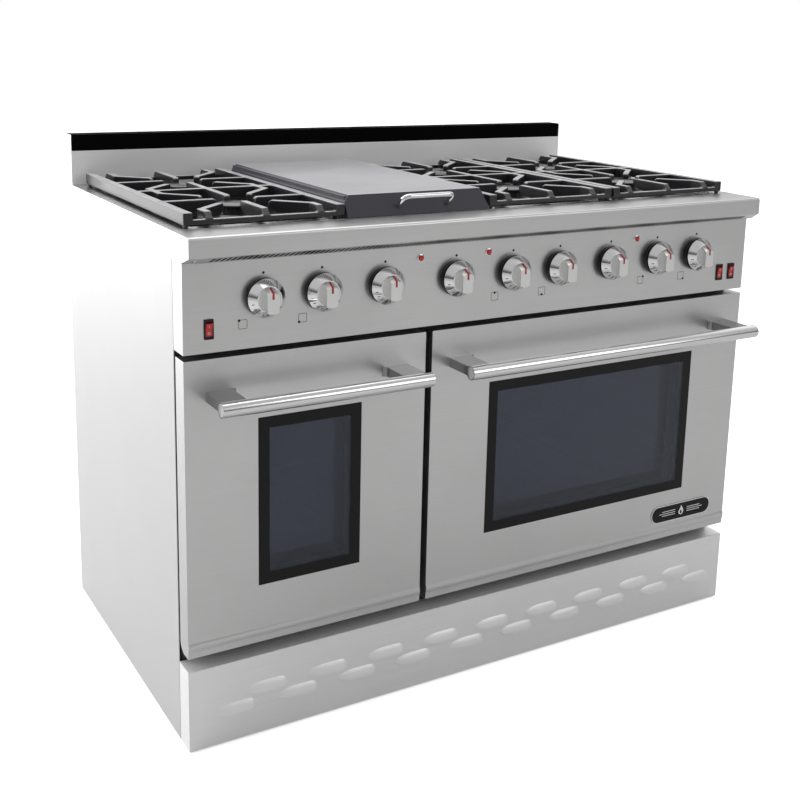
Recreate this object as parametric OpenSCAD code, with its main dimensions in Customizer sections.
// Freestanding gas range: two ovens, six open burners and a covered griddle.
// Origin: on the floor, at the centre of the footprint taken over the handles and the back.
// +X to the right as the user sees it, +Y to the wall, +Z up. Millimetres.

/* [Overall] */
// Width over the side panels
body_w = 1216; // [1210:1:1225]
// Depth from the door faces to the back
body_d = 680; // [675:1:690]
// Height of the cooktop above the floor
deck_h = 892; // [888:1:900]
// Height of the backguard above the cooktop
guard_h = 100.5; // [90:0.5:130]
// Height of the dark band along the top of the backguard
guard_band_h = 32.5; // [20:0.5:40]
// Depth of the backguard, front to back
guard_d = 41.5; // [38:0.5:50]
// Thickness of the sheet metal
sheet = 2; // [1.5:0.5:2.5]

/* [Front] */
// Top of the kick plate
kick_top = 151; // [140:1:155]
// Gap under the kick plate and the side panels
floor_gap = 3; // [2:0.5:10]
// Depth of the kick plate, the control panel and the folded front edges
front_d = 44; // [40:1:45]
// Bottom of the control panel
panel_low = 699; // [696:1:702]
// Top of the control panel
panel_top = 847; // [840:1:850]
// Reach of the front rail in front of the doors
rail_reach = 32; // [25:1:40]
// Height of the front rail's face
rail_face_h = 33; // [28:1:36]
// Radius along the front rail's top edge
rail_edge_r = 5; // [3:1:8]

/* [Doors] */
// Bottom of the oven doors
door_low = 175; // [170:1:180]
// Top of the oven doors
door_top = 689; // [685:1:690]
// Thickness of a door's outer shell
door_t = 38; // [36:1:39]
// Width of the small left door
small_door_w = 448; // [440:1:455]
// Gap between the two doors
door_gap = 13; // [8:1:14]
// Radius of a door's lower rear edge
door_edge_r = 20; // [16:1:20]
// Height of the hinge axis above the door's bottom
hinge_up = 20; // [18:1:22]
// Distance of the hinge pins from the door's side edges
hinge_in = 45; // [35:1:60]
// Radius of the hinge pins
hinge_pin_r = 4; // [3:0.5:5]
// Height of the window
window_h = 298; // [260:1:320]
// Height of the window's lower edge above the door's bottom
window_up = 105; // [90:1:120]
// Width of the small door's window
small_window_w = 193; // [180:1:220]
// Width of the large door's window
large_window_w = 502; // [460:1:520]
// Thickness of the window panes
pane_t = 4; // [3:0.5:5]

/* [Handles] */
// Reach of the handles in front of the doors
handle_reach = 88; // [80:1:95]
// Diameter of the handle bars
bar_d = 25.4; // [22:0.2:28]
// Height of the bars above the floor
bar_z = 627; // [615:1:635]
// Inset of the bars from the door's side edges
bar_inset = 33; // [30:1:40]
// Height of the handle posts
post_h = 17; // [14:1:20]
// Width of a handle post on the door
post_w = 52; // [46:1:56]
// Width of a handle post at the bar
post_neck = 44; // [36:1:50]

/* [Controls] */
// Height of the knobs above the floor
knob_z = 782; // [775:1:790]
// Diameter of the knobs
knob_d = 65; // [60:1:68]
// Diameter of a knob's front disc
knob_disc_d = 50; // [44:1:54]
// Depth of the ring behind a knob
bezel_d = 9; // [7:0.5:9.5]
// Gap between a knob and its ring
knob_gap = 3.7; // [3.4:0.1:4.5]
// Depth of a knob's conical skirt
skirt_d = 14.5; // [12:0.5:16]
// Reach of a knob's grip beyond the disc
grip_d = 13; // [10:0.5:15]
// Width of a knob's grip
grip_w = 24; // [18:1:27]
// Radius of the valve stems
stem_r = 3; // [2.5:0.5:4]
// Running clearance round stems and hinge pins
running_gap = 0.05; // [0.03:0.01:0.08]
// Height of the rocker switches above the floor
switch_z = 738; // [730:1:745]
// Tilt of a rocker to each side
rocker_tilt = 9; // [6:1:10]
// Height of the indicator lamps above the floor
lamp_z = 823; // [815:1:830]

/* [Cooktop] */
// Width of one grate
grate_w = 288; // [284:1:290]
// Front edge of the grates behind the door faces
grate_front = 53; // [50:1:60]
// Back edge of the grates behind the door faces
grate_back = 620; // [600:1:622]
// Height of the grates above the cooktop
grate_top = 25; // [22:1:28]
// Depth of the grates' bars
grate_bar_h = 20; // [16:1:20]
// Width of the grates' side rails
grate_rail_w = 16; // [13:1:18]
// Width of the grates' fingers
finger_w = 12; // [9:1:14]
// Depth of the burner wells
well_depth = 6; // [4:1:8]
// Radius of the burner caps
cap_r = 32; // [28:1:33]
// Front row of burners behind the door faces
burner_front = 192; // [185:1:200]
// Back row of burners behind the door faces
burner_back = 460; // [450:1:470]
// Height of the griddle cover above the cooktop
cover_h = 38; // [34:1:42]

/* [Ovens] */
// Bottom of the oven cavities above the floor
cavity_low = 216; // [214:1:220]
// Height of the oven cavities
cavity_h = 404; // [380:1:410]
// Back of the oven cavities behind the door faces
cavity_back = 560; // [520:1:580]
// Width of the small oven's cavity
small_cavity_w = 320; // [300:1:340]
// Width of the large oven's cavity
large_cavity_w = 630; // [600:1:650]
// Heights of the racks above the cavity floor
rack_up = [115, 245];
// Distance between the rack wires
rack_pitch = 40; // [30:1:60]

/* [Hidden] */
$fn = 48;

// The door faces lie in one plane; all depths are measured back from it
front_y = (handle_reach - body_d) / 2;
half_w = body_w / 2;
frame_y = front_d + 2;
frame_t = 3;
frame_x = half_w - 5;
base_z = 30;
shelf_z = panel_low + 1;
back_y = body_d - 8;

// Doors as [left edge, right edge, window width, cavity width]
small_door = [-half_w, -half_w + small_door_w, small_window_w, small_cavity_w];
large_door = [-half_w + small_door_w + door_gap, half_w, large_window_w, large_cavity_w];
doors = [small_door, large_door];
hinge_y = 20;
hinge_z = door_low + hinge_up;
liner_t = 2;
ear_w = 5;
slot_w = 9;
window_low = door_low + window_up;
bar_y = -handle_reach + bar_d / 2;

// Controls, left to right
knob_x = [-471, -366, -246, -102, 21, 128, 250, 367, 471];
switch_x = [-565, 541, 573];
lamp_x = [-176, -34, 313];
skirt_y = bezel_d + knob_gap;
grip_y = skirt_y + skirt_d;
stem_tip = grip_y - 1;
stem_back = -50;
valve_front = 22;
valve_back = 56;
valve_r = 11;
manifold_y = 75;
manifold_r = 12.7;
inlet_x = 560;
inlet_r = 10.65;

// Cooktop
grate_x = [-441, 146, 439];
grate_z = deck_h + grate_top;
griddle_left = -295;
griddle_right = -3;
well_w = 264;
burner_rows = [burner_front, burner_back];
cross_y = 330;
low_bar_h = 8;

// Louvres of the kick plate
louvre_pitch = 118.2;
louvre_shift = 6;
louvre_len = 66;
louvre_r = 7;

fan_z = cavity_low + cavity_h / 2;
fan_x = (large_door[0] + large_door[1]) / 2;
fan_r = 58;
shaft_r = 4;

function centre_x(d) = (d[0] + d[1]) / 2;
function hinge_x(d) = [d[0] + hinge_in, d[1] - hinge_in];

module from_front() translate([0, front_y, 0]) children();

// A box between two corners
module block(low, high) translate(low) cube(high - low);

// A YZ outline drawn out from x0 to x1
module along_x(x0, x1) translate([x0, 0, 0]) rotate([90, 0, 90]) linear_extrude(x1 - x0) children();

// An XZ outline drawn out from y0 to y1
module along_y(y0, y1) translate([0, y1, 0]) rotate([90, 0, 0]) linear_extrude(y1 - y0) children();

// A rod along Y from y0 to y1
module rod_y(x, z, r, y0, y1) translate([x, y0, z]) rotate([-90, 0, 0]) cylinder(r = r, h = y1 - y0);

// A rod along X from x0 to x1
module rod_x(y, z, r, x0, x1) translate([x0, y, z]) rotate([0, 90, 0]) cylinder(r = r, h = x1 - x0);

module round_rect(w, h, r) {
  square([w - 2 * r, h], center = true);
  square([w, h - 2 * r], center = true);
  for (sx = [-1, 1], sy = [-1, 1]) translate([sx * (w / 2 - r), sy * (h / 2 - r)]) circle(r);
}

// ---- Chassis ----

module chassis_frame() color("dimgray") from_front() {
  difference() {
    union() {
      block([-frame_x, frame_y, base_z], [frame_x, frame_y + frame_t, shelf_z + frame_t]);
      block([-frame_x, frame_y, base_z], [frame_x, back_y, base_z + frame_t]);
      block([-frame_x, frame_y, shelf_z], [frame_x, back_y, shelf_z + frame_t]);
      let (x = (small_door[1] + large_door[0]) / 2)
        block([x - 1.5, frame_y, base_z], [x + 1.5, back_y, shelf_z + frame_t]);
      for (s = [-1, 1]) {
        translate([s * (frame_x - 10), back_y - 10, (base_z + deck_h - 4) / 2])
          cube([20, 20, deck_h - 4 - base_z], center = true);
        translate([s * (frame_x - 10), frame_y + 10, (shelf_z + deck_h - 4) / 2])
          cube([20, 20, deck_h - 4 - shelf_z], center = true);
      }
      for (d = doors, x = hinge_x(d)) hinge_ear(x);
    }
    for (d = doors) {
      translate([centre_x(d) - d[3] / 2, frame_y - 1, cavity_low])
        cube([d[3], frame_t + 2, cavity_h]);
      for (x = hinge_x(d))
        rod_x(hinge_y, hinge_z, hinge_pin_r + running_gap, x - ear_w, x + ear_w);
    }
  }
}

// Ear that carries one door hinge pin, reaching forward into the door
module hinge_ear(x) {
  block([x - ear_w / 2, hinge_y, hinge_z - 9], [x + ear_w / 2, frame_y + 1, hinge_z + 9]);
  rod_x(hinge_y, hinge_z, 9, x - ear_w / 2, x + ear_w / 2);
}

module side_panel() {
  lip = 15;
  block([half_w - sheet, frame_y, floor_gap], [half_w, body_d, deck_h - sheet - 0.2]);
  block([half_w - lip, frame_y, floor_gap], [half_w, body_d, floor_gap + sheet]);
  block([half_w - 4, body_d - sheet, floor_gap], [half_w, body_d, deck_h - sheet - 0.2]);
}

module side_panels() color("whitesmoke") from_front() {
  side_panel();
  mirror([1, 0, 0]) side_panel();
}

module back_panel() color("silver") from_front() {
  vent_w = 70;
  x_edge = frame_x - 0.5;
  difference() {
    union() {
      block([-x_edge, back_y + 0.2, base_z], [x_edge, back_y + 0.2 + sheet, deck_h - 4]);
      rod_y(-520, 90, 13, back_y - 6, back_y + 5);
    }
    for (row = [0:3], i = [-5:5])
      translate([i * 95 - vent_w / 2, back_y - 1, 600 + row * 30]) cube([vent_w, 5, 6]);
    rod_y(inlet_x, knob_z, 22, back_y - 10, back_y + 10);
    rod_y(-520, 90, 6.5, back_y - 10, back_y + 10);
  }
}

module kick_plate() color("silver") from_front() {
  difference() {
    union() {
      block([-half_w, 0, floor_gap], [half_w, front_d, kick_top]);
      for (i = [-4:4]) louvre(i * louvre_pitch + louvre_shift, 90);
      for (i = [-5:4]) louvre((i + 0.5) * louvre_pitch + louvre_shift, 64);
    }
    block([-half_w + sheet, sheet, floor_gap - 1], [half_w - sheet, front_d + 1, kick_top - sheet]);
    for (i = [-4:4]) louvre_slot(i * louvre_pitch + louvre_shift, 90);
    for (i = [-5:4]) louvre_slot((i + 0.5) * louvre_pitch + louvre_shift, 64);
  }
}

// Half-round hood pressed out of the kick plate
module louvre(x, z) {
  reach = louvre_len / 2 - louvre_r;
  rod_x(2.5, z, louvre_r, x - reach, x + reach);
  for (s = [-1, 1]) translate([x + s * reach, 2.5, z]) sphere(louvre_r);
}

module louvre_slot(x, z) block([x - 24, -3, z - 8], [x + 24, 12, z - 4]);

module leveling_legs() color("dimgray") from_front() {
  for (x = [-560, 560], y = [90, 620]) translate([x, y, 0]) {
    cylinder(r = 22, h = 6);
    translate([0, 0, 6]) cylinder(r1 = 16, r2 = 9, h = 5);
    translate([0, 0, 10]) cylinder(r = 8, h = base_z - 10);
    translate([0, 0, 19]) cylinder(r = 14, h = 8, $fn = 6);
  }
}

// ---- Cooktop ----

module cooktop_deck() color("lightgray") from_front() {
  mid_y = (grate_front + grate_back) / 2;
  well_len = grate_back - grate_front - 30;
  difference() {
    union() {
      block([-half_w, frame_y + 0.2, deck_h - sheet], [half_w, body_d - 0.2, deck_h]);
      for (x = grate_x)
        translate([x, mid_y, deck_h - well_depth - sheet])
          linear_extrude(well_depth) round_rect(well_w + 2 * sheet, well_len + 2 * sheet, 14);
    }
    for (x = grate_x) {
      translate([x, mid_y, deck_h - well_depth])
        linear_extrude(well_depth + 1) round_rect(well_w, well_len, 12);
      for (y = burner_rows) translate([x, y, deck_h - 20]) cylinder(r = 17, h = 30);
    }
    block([griddle_left + 11, grate_front + 22, deck_h - 20],
          [griddle_right - 11, grate_back - 12, deck_h + 20]);
  }
}

module rail_outline(inset) {
  low = deck_h - rail_face_h + inset;
  back = frame_y - inset;
  top = deck_h - inset;
  front = -rail_reach + inset;
  r = rail_edge_r - inset / 2;
  polygon([[front, low], [inset / 2, panel_top + 0.2 + inset], [back, panel_top + 0.2 + inset],
           [back, top], [front + r, top], [front, top - r]]);
  translate([front + r, top - r]) circle(r);
}

module front_rail() color("silver") from_front() {
  difference() {
    along_x(-half_w, half_w) rail_outline(0);
    along_x(-half_w + sheet, half_w - sheet) rail_outline(sheet);
  }
}

module backguard() color("silver") from_front() {
  front = body_d - guard_d;
  band_z = deck_h + guard_h - guard_band_h;
  difference() {
    block([-half_w, front, deck_h + 0.2], [half_w, body_d, band_z]);
    block([-half_w + sheet, front + sheet, deck_h], [half_w - sheet, body_d - sheet, band_z - sheet]);
  }
  for (x = [-half_w, half_w - 1.5])
    block([x, front, band_z - 1], [x + 1.5, body_d, deck_h + guard_h]);
}

module backguard_cap() color("black") from_front() {
  front = body_d - guard_d + 1.5;
  low = deck_h + guard_h - guard_band_h + 0.2;
  top = deck_h + guard_h;
  difference() {
    block([-half_w + 1.7, front, low], [half_w - 1.7, body_d - 0.5, top]);
    block([-half_w + 3.7, front + sheet, low - 1], [half_w - 3.7, body_d - 2.5, top - sheet]);
    for (i = [-11:11]) block([i * 50 - 18, front + 14, top - 5], [i * 50 + 18, front + 24, top + 1]);
  }
}

module burner_bases() color("goldenrod") from_front() {
  for (x = grate_x, y = burner_rows) translate([x, y, deck_h - well_depth + 0.1]) {
    difference() {
      union() {
        translate([0, 0, -42]) cylinder(r = 14, h = 43);
        cylinder(r1 = 46, r2 = 40, h = 5);
        translate([0, 0, 4]) cylinder(r1 = 27, r2 = 30, h = 12);
      }
      translate([0, 0, -43]) cylinder(r = 9, h = 50);
      for (a = [0:15:165]) rotate([0, 0, a]) translate([-40, -1, 12.5]) cube([80, 2, 5]);
    }
  }
}

module burner_caps() color("black") from_front() {
  for (x = grate_x, y = burner_rows) translate([x, y, deck_h + 10.2])
    rotate_extrude() polygon([[0, 0], [cap_r - 3, 0], [cap_r, 1.5], [cap_r, 4], [cap_r - 3, 6], [0, 7]]);
}

module griddle_plate() color("slategray") from_front() {
  x0 = griddle_left + 5;
  x1 = griddle_right - 5;
  y0 = grate_front + 18;
  y1 = grate_back - 6;
  z = deck_h + 0.1;
  difference() {
    union() {
      block([x0, y0, z], [x1, y1, z + 13]);
      block([x0 + 8, y0 + 8, z - 12], [x1 - 8, y1 - 8, z + 1]);
    }
    block([x0 + 4, y0 + 30, z + 4], [x1 - 4, y1 - 4, z + 20]);
    block([x0 + 10, y0 + 10, z - 8], [x1 - 10, y0 + 26, z + 20]);
  }
}

// Lid solid: sloped front, sloped right side, upright left side and back
module cover_solid(inset) {
  low = deck_h + 1;
  top = deck_h + cover_h - inset;
  base = inset > 0 ? low - 5 : low;
  intersection() {
    along_y(0, body_d)
      polygon([[griddle_left + inset, base], [griddle_right - inset, base],
               [griddle_right - 10 - inset, top], [griddle_left + inset, top]]);
    along_x(griddle_left - 10, griddle_right + 10)
      polygon([[44 + inset, base], [572 - inset, base], [572 - inset, top], [66 + inset, top]]);
  }
}

module griddle_cover() color("lightgray") from_front() {
  difference() {
    cover_solid(0);
    cover_solid(sheet);
    block([griddle_left - 20, grate_front + 11, deck_h - 5],
          [griddle_right + 20, body_d, deck_h + 13.5]);
  }
}

module griddle_cover_handle() color("silver") from_front() {
  r = 4.5;
  bar = [30, deck_h + 35];
  foot = [51.7, deck_h + 16];
  for (x = [-193, -92]) {
    translate([x, bar[0], bar[1]]) sphere(r);
    translate([x, bar[0], bar[1]])
      rotate([180 + atan2(foot[0] - bar[0], bar[1] - foot[1]), 0, 0])
        cylinder(r = r, h = norm(foot - bar));
  }
  rod_x(bar[0], bar[1], r, -193, -92);
}

// Outline of a grate bar's end, from the underside up, with the end at x = 0.
// A low end slopes up from the thin front or back bar; a free end has a nosed tip.
function bar_end(kind) =
  kind == "low" ? [[0, 0], [0, low_bar_h], [10, grate_bar_h]] :
  kind == "free" ? [[16, 0], [0, 8], [0, grate_bar_h - 3], [4, grate_bar_h]] :
  [[0, 0], [0, grate_bar_h]];

// Flat-topped bar of a grate from p to q
module grate_bar(p, q, p_end, q_end) {
  length = norm(q - p);
  far = bar_end(q_end);
  translate([p[0], p[1], grate_z - grate_bar_h])
    rotate([0, 0, atan2(q[1] - p[1], q[0] - p[0])]) rotate([90, 0, 0])
      linear_extrude(finger_w, center = true)
        polygon(concat(bar_end(p_end),
                       [for (i = [len(far) - 1:-1:0]) [length - far[i][0], far[i][1]]]));
}

module grate(x) color("dimgray") from_front() {
  in_x = grate_w / 2 - grate_rail_w + 0.5;
  bottom = grate_z - grate_bar_h;
  translate([x, 0, 0]) {
    for (s = [-1, 1]) {
      translate([s * (grate_w - grate_rail_w) / 2, (grate_front + grate_back) / 2, grate_z - grate_bar_h / 2])
        cube([grate_rail_w, grate_back - grate_front, grate_bar_h], center = true);
      for (y = [grate_front + 7, grate_back - 7])
        translate([s * (grate_w / 2 - 6), y, deck_h + 0.3]) cylinder(r = 4.5, h = bottom - deck_h);
    }
    for (y = [grate_front, grate_back - 10])
      block([-in_x, y, bottom], [in_x, y + 10, bottom + low_bar_h]);
    block([-in_x, cross_y - finger_w / 2, bottom], [in_x, cross_y + finger_w / 2, grate_z]);
    grate_bar([0, grate_front], [0, burner_front - 36], "low", "free");
    grate_bar([0, grate_back], [0, burner_back + 36], "low", "free");
    grate_bar([0, burner_front + 36], [0, burner_back - 36], "free", "free");
    for (s = [-1, 1]) {
      for (y = burner_rows) grate_bar([s * in_x, y], [s * 36, y], "plain", "free");
      grate_bar([s * 100, grate_front], [s * 100, burner_front - 101], "low", "plain");
      grate_bar([s * 100, grate_back], [s * 100, burner_back + 101], "low", "plain");
      grate_bar([s * 100, burner_front + 101], [s * 100, burner_back - 101], "plain", "plain");
      for (y = burner_rows, t = [-1, 1]) elbow(s, y + t * 101, y + t * 46);
    }
  }
}

// Diagonal finger from the end of a straight bar toward the burner, 0.3 mm lower than the bar
module elbow(s, y0, y1) {
  translate([s * 100, y0, grate_z - grate_bar_h]) cylinder(r = finger_w / 2 + 0.6, h = grate_bar_h);
  translate([0, 0, -0.3]) grate_bar([s * 100, y0], [s * 45, y1], "plain", "free");
}

// ---- Gas train ----

module gas_manifold() color("darkgray") from_front() {
  rod_x(manifold_y, knob_z, manifold_r, -520, inlet_x);
  translate([inlet_x, manifold_y, knob_z]) sphere(17);
  translate([-520, manifold_y, knob_z]) sphere(15);
  rod_y(inlet_x, knob_z, manifold_r, manifold_y, 610);
  rod_y(inlet_x, knob_z, 17, 600, 636);
  rod_y(inlet_x, knob_z, inlet_r, 636, body_d - 4);
}

module gas_valves() color("goldenrod") from_front() {
  for (x = knob_x) difference() {
    union() {
      rod_y(x, knob_z, valve_r, valve_front, valve_back);
      rod_y(x, knob_z, 7, valve_back - 1, manifold_y - manifold_r - 0.2);
      translate([x, 42, knob_z]) cylinder(r = 5, h = 32);
    }
    rod_y(x, knob_z, stem_r + running_gap, valve_front - 1, -stem_back + 1);
  }
}

// ---- Ovens ----

module oven_liner(d) color("midnightblue") from_front() {
  x0 = centre_x(d) - d[3] / 2;
  x1 = centre_x(d) + d[3] / 2;
  y0 = frame_y + frame_t + 0.2;
  difference() {
    block([x0 - sheet, y0, cavity_low - sheet],
          [x1 + sheet, cavity_back + sheet, cavity_low + cavity_h + sheet]);
    block([x0, y0 - 1, cavity_low], [x1, cavity_back, cavity_low + cavity_h]);
    if (d == large_door) rod_y(fan_x, fan_z, 7, cavity_back - 1, cavity_back + 5);
  }
}

module oven_racks() color("silver") from_front() {
  for (d = doors, up = rack_up) {
    w = d[3] - 12;
    z = cavity_low + up;
    x0 = centre_x(d) - w / 2;
    count = floor(w / rack_pitch);
    step = w / count;
    y0 = 70;
    y1 = 500;
    for (i = [0:count]) rod_y(x0 + i * step, z, i == 0 || i == count ? 3 : 1.8, y0, y1);
    for (y = [y0, (y0 + y1) / 2, y1]) rod_x(y, z, 3, x0 - 1, x0 + w + 1);
    for (s = [-1, 1])
      translate([centre_x(d) + s * (d[3] / 2 - 4.5), 290, z - 4.5]) cube([9, 460, 3], center = true);
  }
}

module oven_burners() color("dimgray") from_front() {
  for (d = doors) {
    reach = d[3] / 2 - 70;
    for (s = [-1, 1]) rod_y(centre_x(d) + s * reach, 160, 13, 110, 480);
    rod_x(480, 160, 13, centre_x(d) - reach, centre_x(d) + reach);
    for (s = [-1, 1]) translate([centre_x(d) + s * reach, 480, 160]) sphere(13);
    rod_y(centre_x(d), 160, 10, 480, 600);
    block([centre_x(d) - reach - 20, 100, 190], [centre_x(d) + reach + 20, 500, 192]);
    for (s = [-1, 1]) let (x = centre_x(d) + s * (reach + 20))
      block([x - 1, 100, base_z + frame_t], [x + 1, 130, 191]);
  }
}

module fan_motor() color("dimgray") from_front() {
  difference() {
    union() {
      rod_y(fan_x, fan_z, 38, cavity_back + 20, cavity_back + 60);
      rod_y(fan_x, fan_z, 14, cavity_back + sheet + 6, cavity_back + 80);
      for (a = [45:90:315])
        translate([fan_x, 0, fan_z]) rotate([0, a, 0])
          rod_y(50, 0, 4, cavity_back + sheet, cavity_back + 30);
      for (a = [45, 135])
        translate([fan_x, cavity_back + 27, fan_z]) rotate([0, a, 0]) cube([108, 5, 14], center = true);
    }
    rod_y(fan_x, fan_z, shaft_r + running_gap, cavity_back, cavity_back + 50);
  }
}

module fan_shroud() color("silver") from_front() {
  half = 110;
  y0 = cavity_back - 46;
  difference() {
    block([fan_x - half, y0, fan_z - half], [fan_x + half, cavity_back, fan_z + half]);
    block([fan_x - half + 1.5, y0 + 1.5, fan_z - half + 1.5],
          [fan_x + half - 1.5, cavity_back + 1, fan_z + half - 1.5]);
    for (i = [-5:5])
      let (reach = sqrt(62 * 62 - 121 * i * i))
        block([fan_x - reach, y0 - 1, fan_z + i * 11 - 3], [fan_x + reach, y0 + 3, fan_z + i * 11 + 3]);
    for (s = [-1, 1], z = [-80:40:80])
      translate([fan_x + s * half, cavity_back - 20, fan_z + z]) cube([8, 20, 12], center = true);
  }
}

module convection_fan() color("silver") from_front() {
  y0 = cavity_back - 34;
  translate([fan_x, 0, fan_z]) {
    rod_y(0, 0, shaft_r, y0 - 4, cavity_back + 48);
    rod_y(0, 0, 11, y0 - 2, y0 + 22);
    rod_y(0, 0, fan_r, y0 + 20, y0 + 21.5);
    for (a = [0:45:315]) rotate([0, a, 0])
      translate([fan_r / 2 + 5, y0 + 10, 0]) rotate([25, 0, 0])
        cube([fan_r - 14, 22, 1.5], center = true);
  }
}

module door_gaskets() color("black") from_front() {
  for (d = doors) {
    x0 = centre_x(d) - d[3] / 2;
    x1 = centre_x(d) + d[3] / 2;
    z0 = cavity_low;
    z1 = cavity_low + cavity_h;
    difference() {
      block([x0 - 11, door_t + liner_t + 0.5, z0 - 9], [x1 + 11, frame_y - 0.1, z1 + 11]);
      block([x0 - 3, 0, z0 - 2], [x1 + 3, frame_y + 1, z1 + 3]);
    }
  }
}

// ---- Control panel ----

module control_panel() color("silver") from_front() {
  difference() {
    block([-half_w, 0, panel_low], [half_w, front_d, panel_top]);
    block([-half_w + sheet, sheet, panel_low + sheet], [half_w - sheet, front_d + 1, panel_top - sheet]);
    for (x = knob_x) rod_y(x, knob_z, 5, -1, sheet + 1);
    for (x = lamp_x) rod_y(x, lamp_z, 4.5, -1, sheet + 1);
    for (x = switch_x) block([x - 7.4, -1, switch_z - 14], [x + 7.4, sheet + 1, switch_z + 14]);
  }
}

// Rings behind the knobs, frames round the switches and bezels of the lamps
module panel_bezels() color("black") from_front() {
  for (x = knob_x) difference() {
    rod_y(x, knob_z, knob_d / 2, -bezel_d, -0.1);
    rod_y(x, knob_z, knob_d / 2 - 4, -bezel_d - 1, -3);
    rod_y(x, knob_z, 4.5, -bezel_d, 1);
  }
  for (x = switch_x) difference() {
    union() {
      block([x - 8, -2.5, switch_z - 16.5], [x + 8, -0.1, switch_z + 16.5]);
      block([x - 7.2, -1, switch_z - 13.8], [x + 7.2, 22, switch_z + 13.8]);
    }
    block([x - 6.2, -4, switch_z - 12.5], [x + 6.2, 20, switch_z + 12.5]);
  }
  for (x = lamp_x) {
    rod_y(x, lamp_z, 7.5, -2, -0.1);
    rod_y(x, lamp_z, 5.5, -5, -1);
    rod_y(x, lamp_z, 4.3, -1, 18);
  }
}

// Valve stem with its flat, reaching from the valve into the knob
module stem(i) color("gold") from_front() {
  difference() {
    rod_y(knob_x[i], knob_z, stem_r, -stem_tip, -stem_back);
    block([knob_x[i] - 5, -stem_tip - 1, knob_z + stem_r - 1],
          [knob_x[i] + 5, -skirt_y + 6, knob_z + stem_r + 1]);
  }
}

// Knob drawn along +Z with its back at z = 0
module knob_solid() {
  rim = 1.8;
  difference() {
    union() {
      cylinder(r = knob_d / 2, h = rim);
      translate([0, 0, rim]) cylinder(r1 = knob_d / 2, r2 = knob_disc_d / 2, h = skirt_d - rim);
      intersection() {
        translate([0, 0, skirt_d - 1]) cylinder(r = knob_disc_d / 2 - 0.5, h = grip_d + 1);
        translate([-grip_w / 2, -knob_disc_d / 2, 0]) cube([grip_w, knob_disc_d, skirt_d + grip_d]);
      }
    }
    difference() {
      translate([0, 0, -1]) cylinder(r = knob_disc_d / 2 - 3, h = skirt_d - 1.5);
      translate([0, 0, -2]) cylinder(r = 7, h = skirt_d + 2);
    }
    difference() {
      translate([0, 0, -3]) cylinder(r = stem_r + running_gap, h = skirt_d + 6);
      translate([-5, stem_r - 1 + running_gap, 0]) cube([10, 3, skirt_d + 8]);
    }
  }
}

module knob(i) color("lightgray") from_front()
  translate([knob_x[i], -skirt_y, knob_z]) rotate([90, 0, 0]) knob_solid();

// Rocker, resting tilted to its off side; it turns about X through the switch
module rocker(i) color("red") from_front()
  translate([switch_x[i], 3, switch_z]) rotate([rocker_tilt, 0, 0]) {
    along_x(-5.7, 5.7)
      polygon([[-6.5, -10.8], [-5, 0], [-6.5, 10.8], [0, 10.8], [7, 3], [7, -3], [0, -10.8]]);
    rod_x(0, 0, 2.5, -6.1, 6.1);
  }

// ---- Doors ----

// Outline of a door from the side, drawn inset on the closed sides
module door_outline(inset) {
  r = door_edge_r - inset;
  translate([inset, door_low + door_edge_r])
    square([door_t - inset, door_top - door_low - door_edge_r - inset]);
  translate([inset, door_low + inset]) square([door_t - door_edge_r - inset, door_edge_r]);
  translate([door_t - door_edge_r, door_low + door_edge_r]) circle(r);
}

module door_skin(d) color("silver") from_front() {
  difference() {
    along_x(d[0], d[1]) door_outline(0);
    along_x(d[0] + sheet, d[1] - sheet) door_outline(sheet);
    block([d[0] + sheet, door_t - sheet - 1, door_low + door_edge_r + 1],
          [d[1] - sheet, door_t + 1, door_top - sheet]);
    translate([centre_x(d) - d[2] / 2, -1, window_low]) cube([d[2], 10, window_h]);
    for (x = hinge_x(d))
      block([x - slot_w / 2, 9.5, door_low - 5], [x + slot_w / 2, door_t + 5, hinge_z + 11]);
  }
}

module door_liner(d) color("gray") from_front() {
  x0 = centre_x(d) - d[3] / 2 + 6;
  x1 = centre_x(d) + d[3] / 2 - 6;
  see = d[2] - 30;
  difference() {
    union() {
      block([d[0] + 1, door_t, door_low + door_edge_r + 2], [d[1] - 1, door_t + liner_t, door_top - 1]);
      block([x0, door_t + 1, cavity_low + 6], [x1, door_t + 6, cavity_low + cavity_h - 6]);
    }
    block([x0 + 3, door_t - 1, cavity_low + 9], [x1 - 3, door_t + 4.5, cavity_low + cavity_h - 9]);
    translate([centre_x(d) - see / 2, door_t - 2, window_low + 15]) cube([see, 12, window_h - 30]);
    for (x = hinge_x(d))
      block([x - slot_w / 2, door_t - 1, door_low], [x + slot_w / 2, door_t + 5, hinge_z + 11]);
  }
}

// Outer pane set flush in the door face and inner pane behind the liner
module door_glass(d) color("black") from_front() {
  gap = 0.3;
  block([centre_x(d) - d[2] / 2 + gap, 0.3, window_low + gap],
        [centre_x(d) + d[2] / 2 - gap, 0.3 + pane_t, window_low + window_h - gap]);
  block([centre_x(d) - d[2] / 2, door_t - pane_t - 2, window_low],
        [centre_x(d) + d[2] / 2, door_t - 0.2, window_low + window_h]);
}

// Post with a straight outer edge, flaring toward the door on its inner edge
module handle_post() {
  depth = -bar_y;
  flare = post_w - post_neck;
  translate([0, 0, bar_z - post_h / 2]) linear_extrude(post_h) difference() {
    translate([0, -depth]) square([post_w, depth]);
    translate([post_neck, -depth - 1]) square([post_w, depth - flare + 1]);
    translate([post_neck + flare, -flare]) circle(flare);
  }
}

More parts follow.
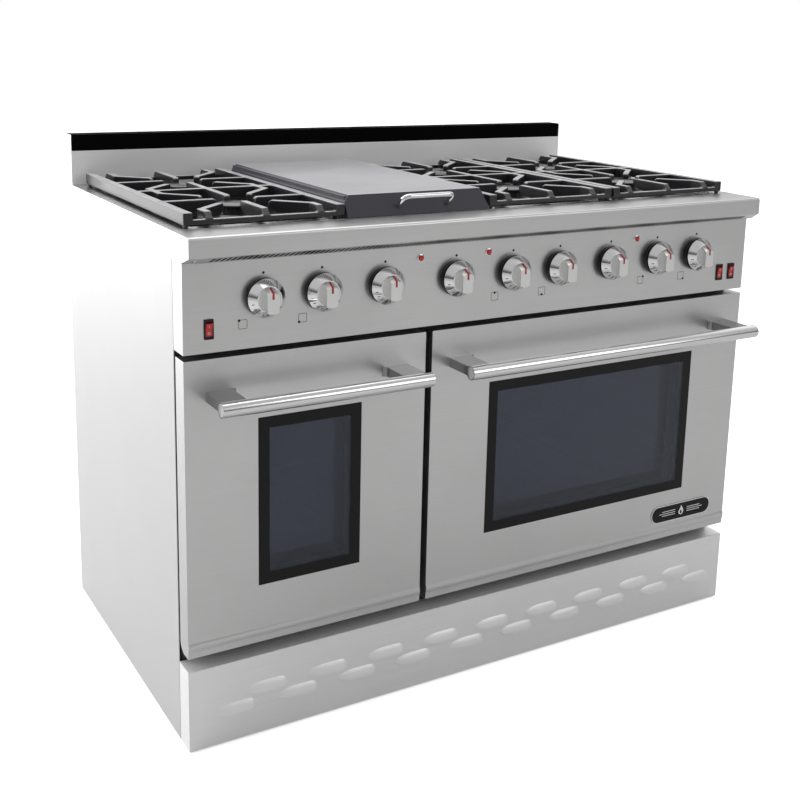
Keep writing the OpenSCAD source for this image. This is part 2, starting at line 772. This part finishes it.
module door_handle(d) color("silver") from_front() {
  x0 = d[0] + bar_inset;
  x1 = d[1] - bar_inset;
  rod_x(bar_y, bar_z, bar_d / 2, x0, x1);
  translate([x0 + 4, 0, 0]) handle_post();
  translate([x1 - 4, 0, 0]) mirror([1, 0, 0]) handle_post();
}

// Forked leaves inside the door and the pins that turn in the chassis ears
module door_hinges(d) color("gray") from_front() {
  for (x = hinge_x(d)) {
    rod_x(hinge_y, hinge_z, hinge_pin_r, x - 8, x + 8);
    for (s = [-1, 1]) translate([x + s * 6, 20, 258]) cube([2.5, 20, 146], center = true);
    block([x - 6, 26, 320], [x + 6, 30, 331]);
  }
}

chassis_frame();
side_panels();
back_panel();
kick_plate();
leveling_legs();
cooktop_deck();
front_rail();
control_panel();
backguard();
backguard_cap();
burner_bases();
burner_caps();
griddle_plate();
gas_manifold();
gas_valves();
oven_liner(small_door);  // oven_liner_left
oven_liner(large_door);  // oven_liner_right
oven_racks();
oven_burners();
fan_motor();
fan_shroud();
door_gaskets();
panel_bezels();
door_skin(small_door);  // door_skin_left
door_liner(small_door);  // door_liner_left
door_glass(small_door);  // door_glass_left
door_handle(small_door);  // door_handle_left
door_hinges(small_door);  // door_hinges_left
door_skin(large_door);  // door_skin_right
door_liner(large_door);  // door_liner_right
door_glass(large_door);  // door_glass_right
door_handle(large_door);  // door_handle_right
door_hinges(large_door);  // door_hinges_right
stem(0);  // stem_left_rear
stem(1);  // stem_left_front
stem(2);  // stem_oven_left
stem(3);  // stem_griddle
stem(4);  // stem_centre_rear
stem(5);  // stem_centre_front
stem(6);  // stem_oven_right
stem(7);  // stem_right_rear
stem(8);  // stem_right_front
knob(0);  // knob_left_rear
knob(1);  // knob_left_front
knob(2);  // knob_oven_left
knob(3);  // knob_griddle
knob(4);  // knob_centre_rear
knob(5);  // knob_centre_front
knob(6);  // knob_oven_right
knob(7);  // knob_right_rear
knob(8);  // knob_right_front
rocker(0);  // rocker_lamp_left
rocker(1);  // rocker_lamp_right
rocker(2);  // rocker_fan
griddle_cover();
griddle_cover_handle();
grate(grate_x[0]);  // grate_left
grate(grate_x[1]);  // grate_centre
grate(grate_x[2]);  // grate_right
convection_fan();
